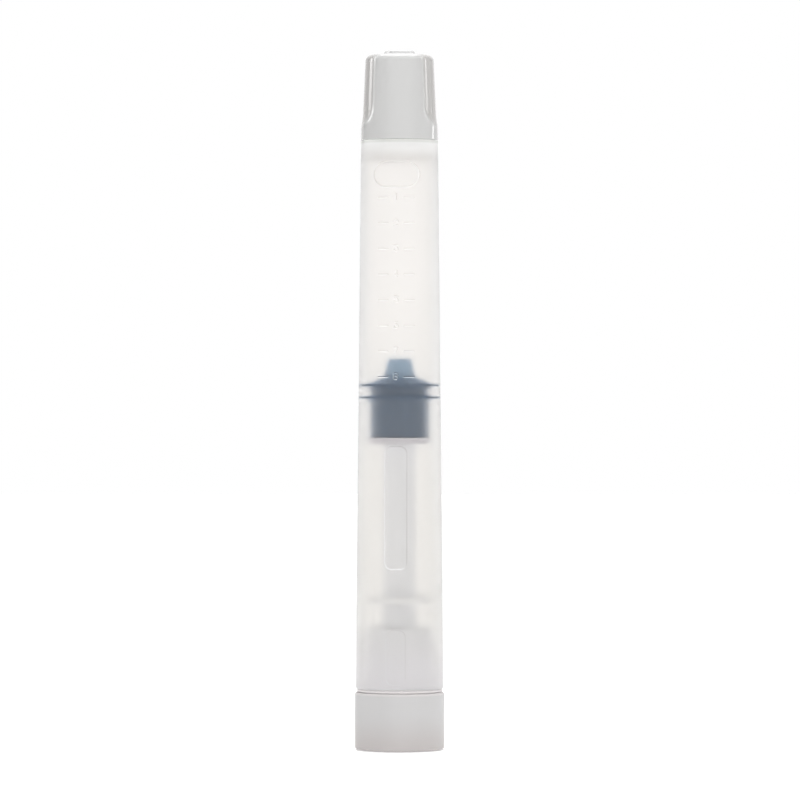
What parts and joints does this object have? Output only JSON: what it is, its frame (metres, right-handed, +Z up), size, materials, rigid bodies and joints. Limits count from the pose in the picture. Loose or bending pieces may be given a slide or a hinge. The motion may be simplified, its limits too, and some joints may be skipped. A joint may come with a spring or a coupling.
{
  "type": "oral syringe",
  "caption": "Slim upright oral syringe with a frosted tapered barrel, a capped nozzle and a twist base whose screw drives a rubber piston.",
  "frame": {"origin": "centre of the base knob's underside, where the syringe stands", "axes": "+Z up along the barrel towards the nozzle and cap, -Y towards the side with the scale"},
  "size_m": [0.0204, 0.0204, 0.1591],
  "materials": {
    "frosted_barrel": "frosted translucent natural polypropylene",
    "natural_plastic": "satin natural white",
    "knob_plastic": "fine satin, pale warm grey",
    "screw_plastic": "smooth white acetal",
    "piston_rubber": "matt slate blue",
    "cap_plastic": "glossy moulded white",
    "plug_rubber": "soft matt elastomer"
  },
  "bodies": {
    "barrel_body": {"barrel": "frosted_barrel", "bearing_ring": "natural_plastic"},
    "drive": {"base_knob": "knob_plastic", "drive_hub": "natural_plastic", "lead_screw": "screw_plastic"},
    "plunger": {"plunger_tube": "natural_plastic", "guide_disc": "natural_plastic", "drive_nut": "screw_plastic", "piston_seal": "piston_rubber"},
    "cap_body": {"cap": "cap_plastic", "cap_plug": "plug_rubber"}
  },
  "joints": [
    {"name": "knob_turn", "type": "hinge", "parent": "barrel_body", "child": "drive", "pos_m": [0, 0, 0], "axis": [0, 0, -1], "range_deg": [0, 3240]},
    {"name": "plunger_slide", "type": "slide", "parent": "barrel_body", "child": "plunger", "axis": [0, 0, 1], "range_m": [0, 0.0522]},
    {"name": "cap_lift", "type": "slide", "parent": "barrel_body", "child": "cap_body", "axis": [0, 0, 1], "range_m": [0, 0.03]}
  ],
  "couplings": [
    {"joint": "knob_turn", "follows": "plunger_slide", "rad_per_m": 1083.3}
  ]
}
